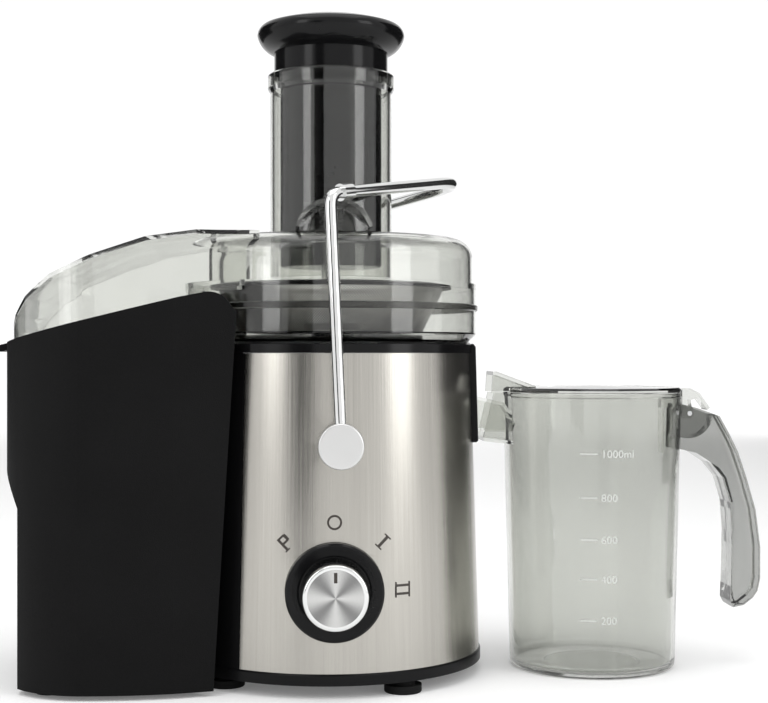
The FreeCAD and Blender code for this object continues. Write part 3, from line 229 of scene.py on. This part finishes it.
FINISH = {
    "black_satin": moulded("satin_black_abs", (0.003, 0.003, 0.0033), (0.007, 0.007, 0.0074),
                           0.30, 900.0, 0.00004, Specular_IOR_Level=0.13),
    "black_gloss": moulded("gloss_black_abs", (0.003, 0.003, 0.0033), (0.006, 0.006, 0.0064),
                           0.16, 500.0, 0.00002, 0.03, Specular_IOR_Level=0.18),
    "bin_black": moulded("textured_black_bin", (0.003, 0.003, 0.003), (0.008, 0.008, 0.0083),
                         0.55, 1400.0, 0.00012, Specular_IOR_Level=0.07),
    "foot_rubber": moulded("black_rubber", (0.005, 0.005, 0.005), (0.012, 0.012, 0.012),
                           0.72, 1100.0, 0.00008, Specular_IOR_Level=0.1),
    "white_nylon": moulded("natural_nylon", (0.60, 0.59, 0.55), (0.74, 0.73, 0.69),
                           0.42, 700.0, 0.00004),
    "carbon": moulded("pressed_carbon", (0.015, 0.015, 0.016), (0.04, 0.04, 0.042),
                      0.6, 1600.0, 0.00008),
    "dark_print": moulded("brown_black_print", (0.022, 0.016, 0.012), (0.038, 0.030, 0.024),
                          0.5, 1200.0, 0.00002),
    "pale_print": moulded("raised_scale", (0.50, 0.51, 0.49), (0.62, 0.63, 0.61),
                          0.4, 900.0, 0.00002),
    "smoke_clear": clear("smoke_clear_plastic", (0.80, 0.81, 0.78), (0.87, 0.875, 0.85)),
    "jug_clear": clear("smoke_jug_plastic", (0.68, 0.69, 0.66), (0.75, 0.757, 0.73)),
    "handle_clear": clear("smoke_handle_plastic", (0.34, 0.345, 0.33), (0.42, 0.425, 0.41)),
    "seal_clear": clear("smoke_seal", (0.22, 0.22, 0.21), (0.30, 0.30, 0.29), 0.2),
    "steel_brushed": brushed("brushed_stainless", (0.29, 0.278, 0.255), (0.56, 0.542, 0.50),
                             0.24),
    # spun face: its base colour swings between these two as a painted highlight of four soft
    # rays
    "spun_face": brushed("spun_aluminium", (0.16, 0.16, 0.16), (0.62, 0.62, 0.61), 0.26,
                         around=False, centre=(0, 0, 63.6 * MM), grain=5200.0),
    "satin_silver": plated("satin_silver", (0.66, 0.66, 0.655), 0.32),
    "chrome_rod": plated("bright_chrome", (0.74, 0.745, 0.74), 0.06),
    "zinc_steel": plated("zinc_plated_steel", (0.60, 0.60, 0.61), 0.28),
    "lamination": wound("stacked_laminations", (0.10, 0.10, 0.11), (0.22, 0.21, 0.21),
                        1.0 * MM),
    "copper_wire": wound("enamelled_copper", (0.42, 0.14, 0.05), (0.72, 0.30, 0.12),
                         0.9 * MM),
    "sieve": meshed("sieve_steel", (0.40, 0.39, 0.38), (0.55, 0.54, 0.52), 1.6 * MM),
}

slot_of = {part["node"]: part["material_slot"] for part in frame["record"]["subparts"]}
for name, node in NODES.items():
    finish = FINISH[{"filter_basket": "sieve", "bowl_seal": "seal_clear",
                     "jug": "jug_clear", "jug_lid": "jug_clear",
                     "jug_handle": "handle_clear"}.get(
        name, slot_of[name])]
    for held in node.material_slots:
        held.material = finish


# ---------------------------------------------------------------- surfaces
def surface(name, points, finish, body, closed_v=False, replaces=(), flip=False):
    """Mesh of a grid of points, rows along u and columns along v, joined up where closed:
    face (i, j) has the corners (i, j), (i + 1, j), (i + 1, j + 1) and (i, j + 1)."""
    points = np.asarray(points, float)
    rows, columns = points.shape[:2]
    index = np.arange(rows * columns).reshape(rows, columns)
    if closed_v:
        index = np.hstack([index, index[:, :1]])
    quads = np.stack([index[:-1, :-1], index[1:, :-1], index[1:, 1:], index[:-1, 1:]], -1)
    quads = quads.reshape(-1, 4)
    if flip:
        quads = quads[:, ::-1]
    mesh = bpy.data.meshes.new(name)
    mesh.from_pydata(points.reshape(-1, 3).tolist(), [], quads.tolist())
    mesh.polygons.foreach_set("use_smooth", [True] * len(mesh.polygons))
    mesh.update()
    made = add_piece(name, mesh, finish, body)
    if replaces:
        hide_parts(*replaces)


def add_piece(name, mesh, finish, body):
    """The mesh as a piece with its finish, riding on a body."""
    mesh.materials.clear()
    mesh.materials.append(FINISH[finish])
    made = bpy.data.objects.new(name, mesh)
    bpy.context.scene.collection.objects.link(made)
    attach(made, body)
    return made


def tube(path, radius, sides=40):
    """Rings of one radius about a path: each ring stands square to the path's run, its
    sideways axis carried along without twist. The ends are closed by shrunk rings."""
    path = np.asarray(path, float)
    run = np.gradient(path, axis=0)
    run /= np.linalg.norm(run, axis=1, keepdims=True)
    radii = np.full(len(path), float(radius))
    path = np.vstack([path[:1], path, path[-1:]])
    run = np.vstack([run[:1], run, run[-1:]])
    radii = np.concatenate([[1e-6], radii, [1e-6]])
    side = np.cross(run, np.array([1.0, 0.001, 0.002]))
    side /= np.linalg.norm(side, axis=1, keepdims=True)
    other = np.cross(run, side)
    turn = np.linspace(0, math.tau, sides, endpoint=False)[None, :, None]
    return path[:, None] + radii[:, None, None] * (
        np.cos(turn) * side[:, None] + np.sin(turn) * other[:, None])


def spun(profile, sides, centre=(0, 0, 0), front=False):
    """A profile of (radius, height) pairs carried round an axis: point = centre plus radius
    times (cos, sin) and the height. Facing the front, the height runs towards -Y."""
    profile = np.asarray(profile, float)
    turn = np.linspace(0, math.tau, sides, endpoint=False)
    reach, rise = profile[:, :1], profile[:, 1:]
    flat, deep = reach * np.cos(turn), reach * np.sin(turn)
    rise = np.broadcast_to(rise, flat.shape)
    grid = (flat, -rise, deep) if front else (flat, deep, rise)
    return np.stack(grid, -1) + np.asarray(centre)


def rounded(corners, radius, steps=6):
    """A profile with each inner corner rounded: quadratic curve between the points that lie
    the radius, or half the shorter run, before and after the corner."""
    corners = np.asarray(corners, float)
    out = [corners[0]]
    for before, corner, after in zip(corners[:-2], corners[1:-1], corners[2:]):
        into, away = before - corner, after - corner
        near = min(radius, 0.48 * min(np.hypot(*into), np.hypot(*away)))
        first = corner + into / np.hypot(*into) * near
        last = corner + away / np.hypot(*away) * near
        share = np.linspace(0, 1, steps)[:, None]
        out.extend((1 - share) ** 2 * first + 2 * share * (1 - share) * corner
                   + share ** 2 * last)
    out.append(corners[-1])
    return np.array(out)


def lettering(name, text, height, place, finish, body, thick=0.25 * MM):
    """Text as a mesh of its own thickness, laid on by place(across, up, out)."""
    curve = bpy.data.curves.new(name, "FONT")
    curve.body, curve.size, curve.extrude = text, height, thick / 2
    curve.align_x = "LEFT"
    curve.resolution_u = 3
    holder = bpy.data.objects.new(name + "_flat", curve)
    bpy.context.scene.collection.objects.link(holder)
    bpy.context.view_layer.update()
    mesh = bpy.data.meshes.new_from_object(
        holder.evaluated_get(bpy.context.evaluated_depsgraph_get()))
    flat = np.empty(len(mesh.vertices) * 3)
    mesh.vertices.foreach_get("co", flat)
    flat = flat.reshape(-1, 3)
    mesh.vertices.foreach_set("co", place(flat[:, 0], flat[:, 1], flat[:, 2]).ravel())
    bpy.data.objects.remove(holder)
    add_piece(name, mesh, finish, body)


# ---------------------------------------------------------------- locking bail
def bail_path():
    """The wire's middle line: up the front leg, a tight bend, along a straight arm that
    climbs to the loop, round the loop about its own centre, and the mirror image back."""
    foot = np.array([3.5, -105.0, 157.6]) * MM
    top = np.array([-3.0, -105.0, 300.0]) * MM
    centre, radius = np.array([37.0, 0.0]) * MM, 42.6 * MM
    slope = 17.0 * MM / (centre[0] + radius - top[0])
    away = np.hypot(*(top[:2] - centre))
    start = math.atan2(*(top[:2] - centre)[::-1]) + math.acos(radius / away)
    turn = np.linspace(start, -start, 61)
    loop = np.stack([centre[0] + radius * np.cos(turn), radius * np.sin(turn)], 1)
    loop = np.column_stack([loop, top[2] + slope * (loop[:, 0] - top[0])])
    down, along = foot - top, loop[0] - top
    near = 8.3 * MM
    first = top + down / np.linalg.norm(down) * near
    last = top + along / np.linalg.norm(along) * near
    share = np.linspace(0, 1, 13)[:, None]
    bend = (1 - share) ** 2 * first + 2 * share * (1 - share) * top + share ** 2 * last
    leg = first + np.linspace(1, 0, 24, endpoint=False)[:, None] * (foot - first)
    arm = last + np.linspace(0, 1, 20, endpoint=False)[1:, None] * (loop[0] - last)
    half = np.vstack([leg, bend, arm])
    mirror = half[::-1] * (1, -1, 1)
    return np.vstack([half, loop, mirror])


surface("bail_wire", tube(bail_path(), 3.74 * MM), "chrome_rod", "bail",
        closed_v=True, replaces=["bail_rod"])

# ---------------------------------------------------------------- jug scale
JUG_X = 173.0 * MM


def on_jug(left, low):
    """Lays flat lettering on the jug: across becomes an arc about the jug's axis, and up
    stays up, at the wall's own radius there plus the stand-off."""
    def place(across, up, out):
        height = low + up
        reach = (54.4 + 4.1 * height / 0.18) * MM + 0.22 * MM + out
        angle = -math.pi / 2 + (left + across) / (56 * MM)
        return np.stack([JUG_X + reach * np.cos(angle), reach * np.sin(angle), height], 1)
    return place


for height, words in ((142.6, "1000ml"), (115.0, "800"), (88.6, "600"), (63.6, "400"),
                      (37.6, "200")):
    lettering("scale_" + words, words, 7.0 * MM, on_jug(-5 * MM, (height - 2.4) * MM),
              "pale_print", "jug_body")

# ---------------------------------------------------------------- knob grip
def knob_grip():
    """The knob's side with fine flutes: radius = profile plus a small cosine of the angle
    that fades in and out along the length."""
    profile = rounded([(19.0, 0.4), (19.9, 0.4), (19.6, 20.5), (17.6, 23.6), (16.8, 23.6)],
                      1.6, 8) * MM
    rows = spun(profile, 360, (0, 0, 0), front=True)
    turn = np.linspace(0, math.tau, 360, endpoint=False)[None, :]
    length = -rows[..., 1]
    fade = np.clip((length - 3 * MM) / (3 * MM), 0, 1) * np.clip((19 * MM - length) / (3 * MM),
                                                                   0, 1)
    swell = 1 - fade * 0.012 * (0.5 + 0.5 * np.cos(turn * 60))
    rows[..., 0] *= swell
    rows[..., 2] *= swell
    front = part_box("knob_bezel")[0].y
    return rows + np.array([0, front + 5.0 * MM, 63.6 * MM])


surface("knob_grip", knob_grip(), "chrome_rod", "knob", closed_v=True, flip=True)

# ---------------------------------------------------------------- set, lights and camera
def stage_plane(name, corners, colour, glow=0.0, seen=True):
    """A flat matt quad of the set; one that isn't seen still reflects and shades."""
    shop = Shop(name, Base_Color=(*colour, 1), Roughness=0.8, Specular_IOR_Level=0.1,
                Emission_Color=(1, 1, 1, 1), Emission_Strength=glow)
    mesh = bpy.data.meshes.new(name)
    mesh.from_pydata(corners, [], [(0, 1, 2, 3)])
    mesh.materials.append(shop.material)
    made = bpy.data.objects.new(name, mesh)
    bpy.context.scene.collection.objects.link(made)
    made.visible_camera = seen


stage_plane("floor", [(-60, -60, 0), (60, -60, 0), (60, 60, 0), (-60, 60, 0)],
            (0.90, 0.90, 0.90), 0.14)
# Dark cards out of view. The front one reflects as the narrow dark strip left of the steel's
# middle; the side ones darken the steel's right edge, the wire and the clear plastic's rims.
stage_plane("front_card", [(-0.98, -1.5, 0.0), (-0.40, -1.5, 0.0), (-0.40, -1.5, 1.1),
                           (-0.98, -1.5, 1.1)], (0.03, 0.03, 0.03), seen=False)
stage_plane("right_card", [(1.30, 0.05, 0.0), (1.30, 2.6, 0.0), (1.30, 2.6, 1.5),
                           (1.30, 0.05, 1.5)], (0.03, 0.03, 0.03), seen=False)
stage_plane("left_card", [(-1.30, 0.4, 0.0), (-1.30, 2.6, 0.0), (-1.30, 2.6, 1.5),
                          (-1.30, 0.4, 1.5)], (0.03, 0.03, 0.03), seen=False)

world = bpy.data.worlds.new("studio")
world.use_nodes = True
world.node_tree.nodes["Background"].inputs[0].default_value = (1, 1, 1, 1)
world.node_tree.nodes["Background"].inputs[1].default_value = 1.03
bpy.context.scene.world = world


def softbox(name, spot, target, size, power):
    """A rectangular lamp at a spot, turned to face the target."""
    lamp = bpy.data.lights.new(name, "AREA")
    lamp.shape, lamp.size, lamp.size_y, lamp.energy = "RECTANGLE", size[0], size[1], power
    made = bpy.data.objects.new(name, lamp)
    made.location = spot
    way = np.array(target, float) - np.array(spot, float)
    flat = math.hypot(way[0], way[1])
    made.rotation_euler = (math.atan2(flat, -way[2]), 0, math.atan2(-way[0], way[1]))
    bpy.context.scene.collection.objects.link(made)


softbox("left_box", (-1.3, -1.2, 0.9), (0, 0, 0.2), (0.5, 1.4), 6)
softbox("right_box", (1.4, -1.0, 0.8), (0.1, 0, 0.2), (0.6, 1.4), 8)
softbox("top_box", (0.0, -0.2, 1.9), (0, 0, 0.1), (1.6, 1.2), 8)

camera = bpy.data.cameras.new("front_view")
camera.lens, camera.sensor_width = 71.25, 36.0
camera.shift_y = 0.002
viewer = bpy.data.objects.new("front_view", camera)
viewer.location = (-22.7 * MM, -1000.3 * MM, 206 * MM)
viewer.rotation_euler = (math.pi / 2, 0, -math.atan(0.0576))
bpy.context.scene.collection.objects.link(viewer)
bpy.context.scene.camera = viewer
bpy.context.scene.view_settings.view_transform = "Standard"
